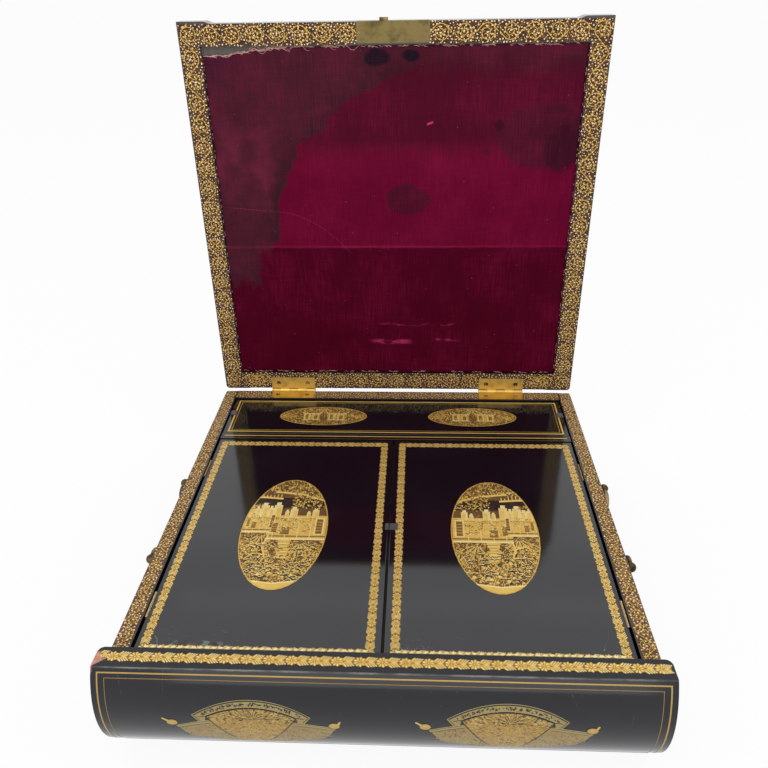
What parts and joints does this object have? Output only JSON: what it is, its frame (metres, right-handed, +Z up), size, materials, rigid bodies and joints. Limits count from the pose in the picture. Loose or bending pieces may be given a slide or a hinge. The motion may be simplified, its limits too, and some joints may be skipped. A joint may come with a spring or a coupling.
{
  "type": "lacquer writing box",
  "caption": "Black lacquer writing box with a round front like a book's spine, a velvet-lined hinged lid with a lock, hinged flaps over paper wells, a covered pen tray and drop handles.",
  "frame": {"origin": "centre of the flat face that the box rests on, 160 mm in front of the back face", "axes": "+Z up, +Y towards the back where the lid is hinged, +X to the right as seen from the front"},
  "size_m": [0.3464, 0.3617, 0.3937],
  "materials": {
    "lacquer": "black gloss lacquer with gold painting",
    "inner_wood": "dark satin lacquer",
    "brass": "polished, with a little age",
    "velvet": "crimson silk velvet, worn",
    "silk": "dark grey-green woven ribbon",
    "steel": "spring steel"
  },
  "bodies": {
    "case": {"bottom_board": "lacquer", "left_side_board": "lacquer", "right_side_board": "lacquer", "back_board": "lacquer", "front_spine": "lacquer", "divider_wall": "lacquer", "centre_partition": "inner_wood", "front_flap_ledge": "inner_wood", "back_flap_ledge": "inner_wood", "left_well_partition": "inner_wood", "right_well_partition": "inner_wood", "left_tray_end_ledge": "inner_wood", "right_tray_end_ledge": "inner_wood", "left_hinge_base_leaf": "brass", "right_hinge_base_leaf": "brass", "left_hinge_pin": "brass", "right_hinge_pin": "brass", "hinge_screws_base": "brass", "left_front_flap_hinge_fixed_leaf": "brass", "left_front_flap_hinge_pin": "brass", "left_front_handle_post": "brass", "left_rear_flap_hinge_fixed_leaf": "brass", "left_rear_flap_hinge_pin": "brass", "left_rear_handle_post": "brass", "right_front_flap_hinge_fixed_leaf": "brass", "right_front_flap_hinge_pin": "brass", "right_front_handle_post": "brass", "right_rear_flap_hinge_fixed_leaf": "brass", "right_rear_flap_hinge_pin": "brass", "right_rear_handle_post": "brass"},
    "lid": {"lid_board": "lacquer", "velvet_lining": "velvet", "lock_plate": "brass", "lock_case": "brass", "lock_spring": "steel", "lock_pins": "brass", "key_post": "brass", "hinge_screws_lid": "brass", "left_hinge_lid_leaf": "brass", "right_hinge_lid_leaf": "brass"},
    "bolt": {"lock_bolt": "brass"},
    "tray_cover": {"tray_cover": "lacquer", "left_tray_tab": "silk", "right_tray_tab": "silk"},
    "left_flap": {"left_flap": "lacquer", "left_flap_tab": "silk", "left_front_flap_hinge_moving_leaf": "brass", "left_rear_flap_hinge_moving_leaf": "brass"},
    "left_bail": {"left_bail": "brass"},
    "right_flap": {"right_flap": "lacquer", "right_flap_tab": "silk", "right_front_flap_hinge_moving_leaf": "brass", "right_rear_flap_hinge_moving_leaf": "brass"},
    "right_bail": {"right_bail": "brass"}
  },
  "joints": [
    {"name": "lid_hinge", "type": "hinge", "parent": "case", "child": "lid", "pos_m": [0, 0.1616, 0.0702], "axis": [-1, 0, 0], "range_deg": [-90, 0]},
    {"name": "left_flap_hinge", "type": "hinge", "parent": "case", "child": "left_flap", "pos_m": [-0.1526, -0.0392, 0.0675], "axis": [0, -1, 0], "range_deg": [0, 105]},
    {"name": "right_flap_hinge", "type": "hinge", "parent": "case", "child": "right_flap", "pos_m": [0.1526, -0.0392, 0.0675], "axis": [0, 1, 0], "range_deg": [0, 105]},
    {"name": "tray_cover_lift", "type": "slide", "parent": "case", "child": "tray_cover", "axis": [0, 0, 1], "range_m": [0, 0.05]},
    {"name": "lock_bolt_slide", "type": "slide", "parent": "lid", "child": "bolt", "axis": [0, 0, 1], "range_m": [-0.0024, 0.0034]},
    {"name": "left_bail_hinge", "type": "hinge", "parent": "case", "child": "left_bail", "pos_m": [-0.1697, -0.0195, 0.0605], "axis": [0, 1, 0], "range_deg": [0, 180]},
    {"name": "right_bail_hinge", "type": "hinge", "parent": "case", "child": "right_bail", "pos_m": [0.1697, -0.0195, 0.0605], "axis": [0, -1, 0], "range_deg": [0, 180]}
  ]
}
